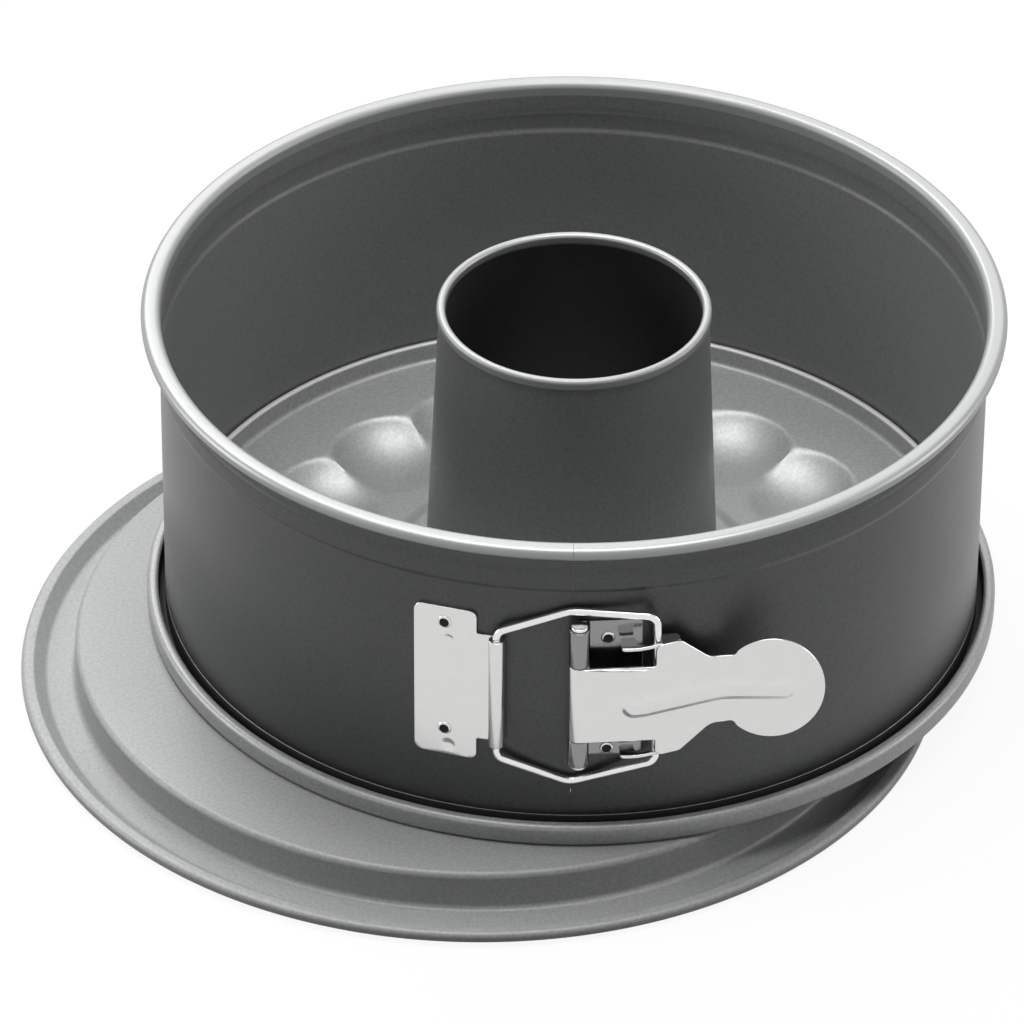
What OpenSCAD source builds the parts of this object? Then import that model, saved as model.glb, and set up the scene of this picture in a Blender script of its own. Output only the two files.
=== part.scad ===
// Springform ring-cake pan: split ring with an over-centre latch on a fluted
// tube base, standing on its spare flat base. Millimetres, +Z up.
// Origin: centre of the whole footprint, on the surface that the pan stands on.

/* [Ring] */
// Inner radius of the closed ring
ring_inner_r = 89.6; // [75:0.1:110]
// Sheet thickness of the ring
ring_t = 0.5; // [0.4:0.05:0.8]
// Height of the ring from its foot to the middle of the rolled rim
ring_h = 69.8; // [62:0.1:90]
// Width of the rolled rim, across the roll
rim_w = 4.2; // [3.6:0.1:5]
// Height of the rolled rim
rim_h = 2.9; // [2.4:0.1:3.4]
// Drop from the rim's middle to the shallow stiffening bead
bead_drop = 8.6; // [6:0.1:10]
// Height of the stiffening bead
bead_h = 6.4; // [4:0.1:8]
// How far the stiffening bead stands out
bead_rise = 0.5; // [0.3:0.05:0.8]
// Angle of the split, from the front towards the right
split_angle = 0.3; // [0.1:0.1:0.4]
// Gap between the two ends at the split
split_gap = 0.3; // [0.2:0.05:0.6]
// Length of the inner lap that covers the split
lap_len = 5.5; // [4:0.1:5.6]

/* [Tube base] */
// Sheet thickness of both bases
base_t = 0.6; // [0.5:0.05:0.8]
// Gap between a base's side wall and the closed ring
ring_fit = 0.3; // [0.15:0.05:0.4]
// Height of the ledge that carries the ring, over the base's foot
ledge_h = 5.4; // [5:0.1:7]
// Height of the shoulder over the base's foot
shoulder_h = 11; // [10:0.1:13]
// Height of the baking floor over the base's foot
floor_h = 6.8; // [6.6:0.1:7.4]
// Width of the rolled hem
hem_w = 2.6; // [2:0.1:3]
// Height of the rolled hem
hem_h = 5.1; // [4.4:0.1:5.3]
// Slot between the ring's ledge and the hem
hem_slot = 1.5; // [1:0.1:2]
// Number of flutes around the tube
flute_count = 18; // [12:1:20]
// Depth of a flute's bottom under the baking floor
flute_depth = 5.9; // [4:0.1:6]
// Depth of the fluted trough's crests under the baking floor
trough_depth = 4; // [2:0.1:4.4]
// Outer radius of the fluted trough
trough_r = 70.8; // [60:0.1:74]
// How far each flute reaches out of the trough
flute_reach = 2.5; // [1:0.1:3]

/* [Centre tube] */
// Outer radius of the tube at its top
tube_top_r = 29.4; // [24:0.1:31]
// Outer radius of the tube at the baking floor
tube_foot_r = 32.5; // [31.5:0.1:34]
// Sheet thickness of the tube
tube_t = 0.5; // [0.4:0.05:0.8]
// How far the tube's top lies under the rim's middle
tube_drop = 0.55; // [0:0.05:3]
// Width of the tube's rolled top edge
tube_roll_w = 1.94; // [1.6:0.02:2.4]
// Height of the tube's rolled top edge
tube_roll_h = 2.2; // [2:0.1:3]
// Width of the flange that is folded under the base
tube_flange_w = 3.2; // [2:0.1:4]

/* [Flat base] */
// Height of the flat base's plateau
plateau_h = 9.8; // [9:0.1:12]
// Width of the drip channel's floor
channel_w = 5.2; // [4:0.1:7]
// Width of the slope from the channel up to the lip
lip_slope_w = 2.8; // [2:0.1:4]
// Width of the lip's roll
lip_w = 2.7; // [2.2:0.1:3.4]
// Height of the lip's roll
lip_h = 2.4; // [2:0.1:3]
// Height of the lip's top
lip_top = 3.1; // [2.8:0.1:4.5]
// Place of the flat base under the pan, to the right
flat_x = -20.1; // [-22:0.1:-18]
// Place of the flat base under the pan, to the back
flat_y = -14.9; // [-17:0.1:-12]

/* [Latch] */
// Height of the latch's middle over the ring's foot
latch_z = 32.6; // [28:0.1:40]
// Sheet thickness of the latch's pressings
latch_t = 0.8; // [0.7:0.05:0.9]
// Diameter of the wire
wire_d = 1.8; // [1.6:0.05:2]
// Diameter of the hinge pin
pin_d = 2.8; // [2.4:0.1:3]
// Running clearance of the wire and of the hinge pin, on the radius
run_gap = 0.05; // [0.02:0.01:0.1]
// Gap between the latch's moving pieces and what lies under them
latch_gap = 0.35; // [0.3:0.05:0.6]
// Arc length of the keeper plate
keeper_len = 13.9; // [12:0.1:16]
// Height of the keeper plate
keeper_h = 38.2; // [34:0.1:42]
// Angle of the keeper's roll, to the left of the front
keeper_angle = 9.6; // [9.2:0.1:10.4]
// Height of the keeper's roll
roll_h = 27.4; // [22:0.1:30]
// Angle of the hinge pin, to the right of the front
pin_angle = 1.2; // [1:0.1:1.5]
// Angle of the wire's right leg, to the right of the front
leg_angle = 11.25; // [11:0.05:11.5]
// Height of the wire loop's peaks over the bracket's top
wire_over = 3.5; // [3:0.1:5]
// How far the wire loop has dropped in the keeper's roll
wire_drop = 0.6; // [0.2:0.1:0.8]
// How far the bracket reaches above the latch's middle
bracket_top = 18.7; // [18:0.1:19]
// How far the bracket reaches below the latch's middle
bracket_foot = 16.2; // [16:0.1:19]
// Arc length of the bracket
bracket_len = 14.4; // [13:0.1:15]
// Height of the lever's tongue
tongue_h = 19; // [18:0.1:22]
// Length of the lever's tongue, from the hinge to its first bend
tongue_len = 10.3; // [9:0.1:11]
// Radius of the lever's two bends
lever_bend_r = 12; // [10:0.5:14]
// Angle of the lever's two bends, inwards and outwards again
lever_turn = 21; // [18:0.5:22]
// Length of the lever's slanting run between its bends
lever_run = 14.5; // [13:0.1:16]
// Height across the lever's shoulders
shoulder_span = 28.6; // [27:0.1:30]
// How far the middle of the shoulders lies above the latch's middle
shoulder_up = 0.5; // [0:0.1:1]
// Height of the lever's neck
neck_h = 16.8; // [15:0.1:18]
// Height of the lever's thumb tab
tab_h = 25.4; // [24:0.1:27]
// Length of the lever's thumb tab
tab_w = 22.6; // [21:0.1:24]
// Width of the lever's stiffening rib
rib_w = 5.6; // [4:0.1:7]
// How far the rib stands out
rib_rise = 1.2; // [1:0.1:2]

/* [Hidden] */
$fn = 96;

// Angles are counted from the front (-Y) towards the right (+X)
front = 270;
half_turn = 180;
full_turn = 360;

// Overrun of a cut past the faces that it opens
cut = 1;

// Radii that every piece shares
ring_outer_r = ring_inner_r + ring_t;
wall_r = ring_inner_r - ring_fit;
rim_step = 0.2;
rim_r = ring_inner_r + rim_step + rim_w / 2;
rim_outer_r = rim_r + rim_w / 2;

// Heights over the surface that the pan stands on
tube_base_z = plateau_h;
floor_z = tube_base_z + floor_h;
ring_z = tube_base_z + ledge_h;
rim_z = ring_z + ring_h;
latch_mid_z = ring_z + latch_z;

// Tube base, from the ring's ledge outwards
ledge_r = ring_outer_r;
hem_r = ledge_r + hem_slot + hem_w / 2;
hem_outer_r = hem_r + hem_w / 2;

// Tube base, from the floor up to the shoulder
crest_w = 1.1;
shoulder_wall_w = 1;
floor_fillet = 1.8;
floor_r = wall_r - crest_w - shoulder_wall_w - floor_fillet;
edge_round = 0.3;

// Collar of the tube base, which rises to the tube
collar_gap = 0.05;
collar_w = 8;
collar_rise_share = 0.9;

// Flutes: balls that press the trough's floor down
flute_ball_r = 21.6;
flute_start_share = 0.65;
flute_half_w = sqrt(pow(flute_ball_r, 2) - pow(flute_ball_r - flute_depth, 2));
flute_r = trough_r + flute_reach - flute_half_w;
flute_ball_z = floor_z - flute_depth + flute_ball_r;

// Centre tube
tube_top_z = rim_z - tube_drop;
tube_roll_r = tube_top_r - tube_t;
collar_z = floor_z - trough_depth * (1 - collar_rise_share);
tube_bottom_z = collar_z - base_t - tube_t;

// Flat base, from its wall outwards
wall_foot_w = 1.4;
channel_r = wall_r + wall_foot_w;
slope_r = channel_r + channel_w;
lip_in_r = slope_r + lip_slope_w;
lip_r = lip_in_r + lip_w / 2;
flat_outer_r = lip_in_r + lip_w;
plateau_round = 1.2;

// Centre of the whole footprint, seen from the pan's axis
span_r = max(hem_outer_r, rim_outer_r);
foot_x = (min(flat_x - flat_outer_r, -span_r) + span_r) / 2;
foot_y = (min(flat_y - flat_outer_r, -span_r) + span_r) / 2;

// Keeper and wire loop
wire_r = wire_d / 2;
roll_r = wire_r + run_gap + latch_t;
keeper_r = ring_outer_r + roll_r + 3 * run_gap;
keeper_edge_angle = 12.4;
keeper_corner = 2;
keeper_mid = keeper_edge_angle + keeper_len / 2 / ring_outer_r * half_turn / PI;
leg_step = 1.4;
leg_r = keeper_r + leg_step;
peak_angle = 0;
bend_r = 2.4;
bend_lap = 0.2;
bend_wire_share = 1.02;
corner_share = 0.73;
leg_share = 0.96;

// Rivets: heights over the latch's middle
rivet_head_r = 1.6;
rivet_r = 1;
rivet_head = 0.6;
rivet_tail_r = 1.3;
rivet_tail = 0.3;
rivet_fit = 0.02;
keeper_rivet_z = [15.5, -12.1];
keeper_dimple_z = [11.1, -16.3];
dimple_r = 1.1;
dimple_depth = 0.4;
bracket_rivet_z = [14.5, 5, -4.7, -14.2];
rivet_step = 0.6;
bracket_rivet_angle = split_angle + (lap_len + rivet_step + rivet_tail_r) / ring_outer_r * half_turn / PI;

// Hinge pin, bracket and lever
pin_r = pin_d / 2;
knuckle_r = pin_r + run_gap + latch_t;
hinge_r = ring_outer_r + latch_t + latch_gap + knuckle_r;
knuckle_gap = 0.15;
pin_head_r = 1.3 * pin_r;
plate_r = hinge_r + knuckle_r;
bracket_start = 0.6;
cheek_in_r = ring_outer_r + latch_t + rivet_head + latch_gap / 2;
cheek_start = 6.5;
cheek_end = 14.4;
fork_back = 3.5;
fork_out = 0.3;
shoulder_from = 16.2;
shoulder_to = 22.4;
neck_at = 29.3;
tab_at = 40.6;
rib_from = 8.6;
rib_to = 46.2;
lever_corner = 1.6;
lever_facets = 6;

function arc_angle(len, r) = len / r * half_turn / PI;
function ease(t) = let (u = min(max(t, 0), 1)) (1 - cos(half_turn * u)) / 2;
function polar(angle, r) = [r * sin(angle), -r * cos(angle)];
function arc_points(c, r, from, to, steps) =
    [for (i = [0 : steps]) let (a = from + (to - from) * i / steps) c + r * [cos(a), sin(a)]];

// A ring-shaped sheet or block, turned from one angle to another
module turned(from, to) {
    rotate([0, 0, front + from]) rotate_extrude(angle = to - from) children();
}

// A flat oval, twice as a roll's outside and its hollow
module oval(w, h) {
    d = min(w, h);
    for (side = [-1, 1])
        translate(w > h ? [side * (w - d) / 2, 0] : [0, side * (h - d) / 2]) circle(d = d);
    square([w > h ? w - d : w, w > h ? h : h - d], center = true);
}

// Section of a rolled edge: a hollow oval
module rolled_edge(w, h, t) {
    difference() {
        oval(w, h);
        oval(w - 2 * t, h - 2 * t);
    }
}

// Puts a piece that is drawn along X onto the ring's outside, at an angle and a height
module on_ring(angle, z) {
    rotate([0, 0, front + angle]) translate([0, 0, z]) children();
}

// Moves everything from the pan's own axis to the origin
module pan_frame() {
    translate([-foot_x, -foot_y, 0]) children();
}

// Flat base

module flat_base_section() {
    steps = 4;
    polygon(concat(
        [[0, plateau_h]],
        arc_points([wall_r - plateau_round, plateau_h - plateau_round], plateau_round, 90, 0, steps),
        arc_points([channel_r, wall_foot_w + base_t], wall_foot_w, half_turn, front, steps),
        [[slope_r, base_t], [lip_in_r, lip_top - lip_h / 4], [lip_r, lip_top - lip_h / 4],
         [lip_r, lip_top - lip_h / 4 - base_t], [lip_in_r, lip_top - lip_h / 4 - base_t],
         [slope_r + base_t, 0], [channel_r - base_t / 2, 0]],
        arc_points([channel_r, wall_foot_w + base_t], wall_foot_w + base_t, front - 10, half_turn, steps),
        arc_points([wall_r - plateau_round, plateau_h - plateau_round], plateau_round - base_t, 0, 90, steps),
        [[0, plateau_h - base_t]]));
}

module flat_base() {
    color("darkgray") pan_frame() translate([flat_x, flat_y, 0]) {
        rotate_extrude() flat_base_section();
        rotate_extrude() translate([lip_r, lip_top - lip_h / 2]) rolled_edge(lip_w, lip_h, base_t);
    }
}

// Tube base

// Depth of the trough's crests at a radius
function trough_at(r) =
    let (in_r = tube_foot_r + collar_gap + tube_flange_w,
         down = ease((r - in_r) / collar_w) * (1 - collar_rise_share * (1 - ease((r - in_r) / collar_w))),
         up = ease((trough_r - r) / (trough_r - flute_r)))
    r >= trough_r ? 0 : trough_depth * max(1 - collar_rise_share, down) * up;

module tube_base_section() {
    steps = 16;
    in_r = tube_foot_r + collar_gap;
    trough = [for (i = [0 : steps]) let (r = in_r + (trough_r - in_r) * i / steps)
              [r, floor_z - trough_at(r)]];
    top_z = tube_base_z + shoulder_h;
    wall_in_r = wall_r - crest_w;
    under_z = ring_z - base_t;
    polygon(concat(
        trough,
        arc_points([floor_r, floor_z + floor_fillet], floor_fillet, front, front + 70, 4),
        [[wall_in_r, top_z - edge_round], [wall_in_r + edge_round, top_z],
         [wall_r - edge_round, top_z], [wall_r, top_z - edge_round],
         [wall_r, ring_z], [ledge_r, ring_z], [ledge_r, tube_base_z + base_t],
         [hem_r, tube_base_z + base_t], [hem_r, tube_base_z],
         [ledge_r - base_t, tube_base_z], [ledge_r - base_t, under_z],
         [wall_in_r, under_z], [floor_r + base_t, floor_z - base_t]],
        [for (i = [steps : -1 : 0]) trough[i] - [0, base_t]]));
}

module flute_balls(r) {
    for (i = [0 : flute_count - 1])
        rotate([0, 0, (i + flute_start_share) * full_turn / flute_count])
            translate([flute_r, 0, flute_ball_z]) sphere(r = r);
}

module tube_base() {
    color("gray") pan_frame() difference() {
        union() {
            rotate_extrude() tube_base_section();
            rotate_extrude() translate([hem_r, tube_base_z + hem_h / 2])
                rolled_edge(hem_w, hem_h, base_t);
            intersection() {
                flute_balls(flute_ball_r + base_t);
                translate([0, 0, floor_z - flute_depth - 2 * base_t]) difference() {
                    cylinder(r = floor_r, h = flute_depth + base_t);
                    translate([0, 0, -cut])
                        cylinder(r = tube_foot_r + collar_w / 2, h = flute_depth + 2 * cut);
                }
            }
        }
        difference() {
            flute_balls(flute_ball_r);
            translate([0, 0, floor_z - flute_depth - cut])
                cylinder(r = tube_foot_r + collar_w / 2, h = 2 * flute_ball_r);
        }
    }
}

// Centre tube

module centre_tube() {
    wall_top_z = tube_top_z - tube_roll_h / 2 + tube_t / 2;
    color("dimgray") pan_frame() {
        rotate_extrude()
            polygon([[tube_top_r, wall_top_z], [tube_foot_r, collar_z - base_t],
                     [tube_foot_r + tube_flange_w, collar_z - base_t],
                     [tube_foot_r + tube_flange_w, tube_bottom_z], [tube_foot_r - tube_t, tube_bottom_z],
                     [tube_foot_r - tube_t, floor_z], [tube_top_r - tube_t, wall_top_z]]);
        rotate_extrude() translate([tube_roll_r, tube_top_z])
            rolled_edge(tube_roll_w, tube_roll_h, tube_t);
    }
}

// Ring

module band_section() {
    bead_z = rim_z - bead_drop;
    bead_r = (pow(bead_h, 2) / 4 + pow(bead_rise, 2)) / (2 * bead_rise);
    bead_a = asin(bead_h / 2 / bead_r);
    bead = arc_points([ring_outer_r + bead_rise - bead_r, bead_z], bead_r, -bead_a, bead_a, 6);
    polygon(concat(
        [[ring_outer_r, ring_z]], bead,
        [[ring_outer_r, rim_z - rim_h], [ring_outer_r + rim_step, rim_z],
         [ring_inner_r + rim_step, rim_z], [ring_inner_r, rim_z - rim_h]],
        [for (i = [6 : -1 : 0]) bead[i] - [ring_t, 0]],
        [[ring_inner_r, ring_z]]));
}

module ring_part(from, to) {
    turned(from, to) band_section();
    turned(from, to) translate([rim_r, rim_z]) rolled_edge(rim_w, rim_h, ring_t);
}

// Sheet that lies on the ring at a radius, with a flat outline seen along that angle
module pressed(angle, r, t, reach) {
    intersection() {
        translate([0, 0, latch_mid_z - reach]) difference() {
            cylinder(r = r + t, h = 2 * reach);
            translate([0, 0, -cut]) cylinder(r = r, h = 2 * reach + 2 * cut);
        }
        on_ring(angle, latch_mid_z) rotate([90, 0, 90]) linear_extrude(height = 2 * r) children();
    }
}

// Round hole or peg across the ring
module peg(angle, z, r, from, to) {
    on_ring(angle, latch_mid_z + z) translate([from, 0, 0]) rotate([0, 90, 0])
        cylinder(r = r, h = to - from, $fn = 32);
}

// Upright round hole or peg
module upright(angle, at_r, r, from, to) {
    on_ring(angle, latch_mid_z + from) translate([at_r, 0, 0]) cylinder(r = r, h = to - from, $fn = 48);
}

module ring_band_left() {
    half_gap = arc_angle(split_gap / 2, ring_outer_r);
    back = half_turn - half_gap / 2;
    lap_z = tube_base_z + shoulder_h + 1;
    lap_out_r = ring_inner_r - run_gap;
    color("gray") pan_frame() {
        difference() {
            ring_part(-back, split_angle - half_gap);
            for (z = keeper_rivet_z)
                peg(-keeper_mid, z, rivet_r + rivet_fit, ring_inner_r - cut, ring_outer_r + cut);
        }
        turned(split_angle - 4, split_angle + arc_angle(lap_len, ring_outer_r))
            translate([lap_out_r - ring_t, lap_z])
                square([ring_t, rim_z - bead_drop - bead_h / 2 - lap_z]);
        turned(split_angle - 4, split_angle - 2) translate([lap_out_r - ring_t / 2, lap_z])
            square([ring_t, rim_z - bead_drop - bead_h / 2 - lap_z]);
    }
}

module ring_band_right() {
    half_gap = arc_angle(split_gap / 2, ring_outer_r);
    color("gray") pan_frame() difference() {
        ring_part(split_angle + half_gap, half_turn - half_gap / 2);
        for (z = bracket_rivet_z)
            peg(bracket_rivet_angle, z, rivet_r + rivet_fit, ring_inner_r - cut, ring_outer_r + cut);
    }
}

// Latch

// Corners of a rectangle with rounded corners, around the middle
function rounded_left(w, h, c) = concat(
    arc_points([c - w / 2, h / 2 - c], c, 90, 180, 6), arc_points([c - w / 2, c - h / 2], c, 180, 270, 6));
function rounded_right(w, h, c) = concat(
    arc_points([w / 2 - c, c - h / 2], c, 270, 360, 6), arc_points([w / 2 - c, h / 2 - c], c, 0, 90, 6));

module keeper_plate() {
    tongue_x = ring_outer_r * sin(keeper_mid - keeper_angle) + latch_t / 2;
    tongue_z = roll_h / 2 - 2 * run_gap;
    color("silver") pan_frame() difference() {
        union() {
            pressed(-keeper_mid, ring_outer_r, latch_t, keeper_h)
                polygon(concat(rounded_left(keeper_len, keeper_h, keeper_corner),
                               arc_points([keeper_len / 2 - keeper_corner, keeper_corner - keeper_h / 2],
                                          keeper_corner, 270, 360, 6),
                               [[keeper_len / 2, -tongue_z], [tongue_x, -tongue_z],
                                [tongue_x, tongue_z], [keeper_len / 2, tongue_z]],
                               arc_points([keeper_len / 2 - keeper_corner, keeper_h / 2 - keeper_corner],
                                          keeper_corner, 0, 90, 6)));
            upright(-keeper_angle, keeper_r, roll_r, -roll_h / 2, roll_h / 2);
        }
        upright(-keeper_angle, keeper_r, wire_r + run_gap, -keeper_h, keeper_h);
        for (z = keeper_rivet_z)
            peg(-keeper_mid, z, rivet_r + rivet_fit, ring_inner_r, ring_outer_r + 2 * latch_t);
        for (z = keeper_dimple_z)
            peg(-keeper_mid, z, dimple_r, ring_outer_r + latch_t - dimple_depth, ring_outer_r + 2 * latch_t);
    }
}

// Rivet through a pressing and the ring, with its tail on the inside
module rivet(angle, z) {
    head_x = ring_outer_r + latch_t;
    tail_x = ring_inner_r - rivet_fit;
    on_ring(angle, latch_mid_z + z) rotate([0, 90, 0]) {
        translate([0, 0, tail_x - rivet_tail])
            cylinder(r = rivet_r, h = head_x - tail_x + rivet_tail, $fn = 32);
        translate([0, 0, head_x]) cylinder(r1 = rivet_head_r, r2 = rivet_r, h = rivet_head, $fn = 32);
        translate([0, 0, tail_x - rivet_tail]) cylinder(r = rivet_tail_r, h = rivet_tail, $fn = 32);
    }
}

module keeper_rivets() {
    color("silver") pan_frame() for (z = keeper_rivet_z) rivet(-keeper_mid, z);
}

module bracket_rivets() {
    color("silver") pan_frame() for (z = bracket_rivet_z) rivet(bracket_rivet_angle, z);
}

// Corner of the wire loop, with the corner before it and the one after it, in the loop's plane
function unit(v) = v / norm(v);
function bend_len(a, b, c) = bend_r * tan(acos(unit(b - a) * unit(c - b)) / 2);

module wire_corner(a, b, c, d) {
    u = unit(b - a);
    w = unit(c - b);
    inward = [u[1], -u[0]];
    turn = acos(u * w);
    from = b + w * (bend_len(a, b, c) - bend_lap);
    to = c - w * (bend_len(b, c, d) - bend_lap);
    translate(b - u * bend_len(a, b, c) + inward * bend_r)
        rotate([0, 0, atan2(-inward[1], -inward[0]) - turn])
        rotate_extrude(angle = turn, $fn = 64)
        translate([bend_r, 0]) circle(r = bend_wire_share * wire_r, $fn = 32);
    translate(from) rotate([0, 0, atan2(w[1], w[0])]) rotate([0, 90, 0])
        cylinder(r = wire_r, h = norm(to - from), $fn = 32);
}

module wire_bail() {
    at = polar(-keeper_angle, keeper_r);
    along = polar(leg_angle, leg_r) - at;
    end = norm(along);
    peak_x = end * (keeper_angle + peak_angle) / (keeper_angle + leg_angle);
    peak = bracket_top + wire_over;
    corner = peak * corner_share;
    leg = peak * leg_share;
    path = [[0, -corner], [0, corner], [peak_x, peak], [end, leg], [end, -corner], [peak_x, -peak]];
    color("silver") pan_frame() translate(concat(at, latch_mid_z - wire_drop))
        rotate([0, 0, atan2(along[1], along[0])]) rotate([90, 0, 0])
        for (i = [0 : 5]) wire_corner(path[i], path[(i + 1) % 6], path[(i + 2) % 6], path[(i + 3) % 6]);
}

module latch_bracket() {
    low = tongue_h / 2 + knuckle_gap;
    end = bracket_start + arc_angle(bracket_len, ring_outer_r);
    color("silver") pan_frame() difference() {
        union() {
            turned(bracket_start, end)
                translate([ring_outer_r, latch_mid_z - bracket_foot])
                square([latch_t, bracket_top + bracket_foot]);
            for (part = [[low, bracket_top], [-bracket_foot, -low]]) {
                upright(pin_angle, hinge_r, knuckle_r, part[0], part[1]);
                on_ring(pin_angle, latch_mid_z + part[0])
                    translate([ring_outer_r + latch_t / 2, pin_r + run_gap, 0])
                    cube([hinge_r - ring_outer_r - latch_t / 2, latch_t, part[1] - part[0]]);
            }
        }
        upright(pin_angle, hinge_r, pin_r + run_gap, -bracket_foot - cut, bracket_top + cut);
        for (z = bracket_rivet_z)
            peg(bracket_rivet_angle, z, rivet_r + rivet_fit, ring_inner_r, ring_outer_r + 2 * latch_t);
    }
}

module hinge_pin() {
    top = bracket_top + run_gap;
    foot = -bracket_foot - run_gap;
    color("silver") pan_frame() {
        upright(pin_angle, hinge_r, pin_r, foot, top);
        for (from = [top, foot - latch_t]) upright(pin_angle, hinge_r, pin_head_r, from, from + latch_t);
    }
}

// One line of the lever's plan, at a distance out from its face: along from the hinge, and out
function lever_line(out) =
    let (turn = lever_turn, outward = [sin(turn), cos(turn)], first = [tongue_len, -lever_bend_r],
         second = first + 2 * lever_bend_r * outward + lever_run * [cos(turn), -sin(turn)])
    concat([[0, out]],
           arc_points(first, lever_bend_r + out, 90, 90 - turn, lever_facets),
           arc_points(second, lever_bend_r - out, front - turn, front, lever_facets),
           [[second[0] + 2 * tab_w, second[1] - lever_bend_r + out]]);

// Plan of the lever's sheet, or of all that lies behind it, in the place of the hinge
module lever_plan(line, back) {
    last = len(back) - 1;
    polygon([for (p = concat(line, [for (i = [last : -1 : 0]) back[i]])) [plate_r + p[1], p[0]]]);
}

// One edge of the lever, from the hinge to the tab's end: side is 1 for the upper, -1 for the lower
function lever_edge(side) =
    let (c = lever_corner, shoulder = shoulder_span / 2 + side * shoulder_up, neck = neck_h / 2,
         tab = arc_points([0, 0], 1, half_turn - asin(neck_h / tab_h) - 4, 0, 20))
    concat([[0, tongue_h / 2], [shoulder_from, tongue_h / 2]],
           arc_points([shoulder_from + c, shoulder - c], c, 180, 90, 5),
           arc_points([shoulder_to - c, shoulder - c], c, 90, 30, 4),
           [[neck_at - c, neck + c / 2], [neck_at, neck], [neck_at + c / 2, neck]],
           [for (p = tab) [tab_at + p[0] * tab_w / 2, p[1] * tab_h / 2]]);

// Sheet along the lever between two distances out from its face, with a flat outline
module lever_sheet(from, to) {
    intersection() {
        on_ring(pin_angle, latch_mid_z - tab_h)
            linear_extrude(height = 2 * tab_h) lever_plan(lever_line(to), lever_line(from));
        on_ring(pin_angle, latch_mid_z) rotate([90, 0, 90])
            linear_extrude(height = 2 * plate_r) children();
    }
}

module rib_outline(inset) {
    len = rib_to - rib_from - 2 * inset;
    h = rib_w - 2 * inset;
    translate([(rib_from + rib_to) / 2, 0])
        polygon(concat(rounded_left(len, h, h / 2), rounded_right(len, h, h / 2)));
}

// Cheek under one shoulder, with its fork for the wire
module cheek(z) {
    difference() {
        intersection() {
            turned(cheek_start, cheek_end) translate([cheek_in_r, latch_mid_z + z])
                square([plate_r - cheek_in_r + latch_t, latch_t]);
            on_ring(pin_angle, latch_mid_z + z) linear_extrude(height = latch_t)
                lever_plan(lever_line(-latch_t / 2), [for (u = [0, 2 * tab_w]) [u, -cheek_in_r / 2]]);
        }
        on_ring(leg_angle, latch_mid_z + z - cut)
            translate([cheek_in_r - cut, -fork_back - wire_r - run_gap, 0])
            cube([leg_r + fork_out + wire_r - cheek_in_r + cut,
                  fork_back + 2 * (wire_r + run_gap), latch_t + 2 * cut]);
    }
}

module latch_lever() {
    upper = lever_edge(1);
    lower = lever_edge(-1);
    last = len(lower) - 1;
    color("silver") pan_frame() difference() {
        union() {
            lever_sheet(-latch_t, 0)
                polygon(concat(upper, [for (i = [last : -1 : 0]) [lower[i][0], -lower[i][1]]]));
            lever_sheet(-latch_t / 2, rib_rise) rib_outline(0);
            upright(pin_angle, hinge_r, knuckle_r, -tongue_h / 2, tongue_h / 2);
            for (z = [shoulder_up + shoulder_span / 2 - latch_t, shoulder_up - shoulder_span / 2]) cheek(z);
        }
        upright(pin_angle, hinge_r, pin_r + run_gap, -tongue_h, tongue_h);
        lever_sheet(-2 * latch_t, rib_rise - latch_t) rib_outline(latch_t);
    }
}

flat_base();
tube_base();
centre_tube();
ring_band_left();
ring_band_right();
keeper_plate();
keeper_rivets();
wire_bail();
latch_bracket();
bracket_rivets();
hinge_pin();
latch_lever();
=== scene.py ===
import math

import bmesh
import bpy
from mathutils import Matrix, Vector
from mathutils.geometry import delaunay_2d_cdt


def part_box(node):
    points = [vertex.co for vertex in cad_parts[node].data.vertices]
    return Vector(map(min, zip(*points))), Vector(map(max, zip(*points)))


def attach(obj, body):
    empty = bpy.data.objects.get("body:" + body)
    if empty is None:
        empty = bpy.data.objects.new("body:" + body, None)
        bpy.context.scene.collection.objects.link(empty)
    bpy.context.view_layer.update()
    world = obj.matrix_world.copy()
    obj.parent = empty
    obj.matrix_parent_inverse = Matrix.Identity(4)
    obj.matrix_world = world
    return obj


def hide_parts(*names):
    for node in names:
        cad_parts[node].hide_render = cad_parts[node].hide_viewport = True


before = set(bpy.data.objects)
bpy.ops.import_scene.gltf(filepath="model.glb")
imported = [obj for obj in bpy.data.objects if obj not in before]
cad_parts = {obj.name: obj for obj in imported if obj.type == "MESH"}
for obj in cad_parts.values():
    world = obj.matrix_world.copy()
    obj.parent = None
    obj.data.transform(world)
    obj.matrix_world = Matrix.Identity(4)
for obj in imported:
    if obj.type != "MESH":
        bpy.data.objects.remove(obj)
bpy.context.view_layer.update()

# Flat base
# The spare base that the pan stands on: pressed from one round of sheet steel, with a
# raised plateau, a drip channel around it and a lip rolled over outwards. Both faces
# carry a light metallic non-stick coat, sprayed and baked.
MM = 0.001
SHEET = 0.6
PLATEAU_TOP = 9.8
PLATEAU_R = 89.3
CHANNEL_FLOOR = 0.6
CHANNEL_OUT = 95.9
LIP_IN = 98.6
LIP_OUT = 101.4
LIP_TOP = 3.1
LIP_FOOT = 0.7
TURNS = 288
SHARP = math.radians(38)
COAT_GRAIN = 0.7
COAT_PEEL = 0.008
COAT_CLOUD = 22
COAT_RELIEF = 0.5
TINT_SPREAD = 0.12
GLOSS_SPREAD = 0.03


def centre_of(node):
    """Middle of a CAD node's footprint, in millimetres."""
    low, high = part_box(node)
    return (low[0] + high[0]) / 2 / MM, (low[1] + high[1]) / 2 / MM


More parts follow.
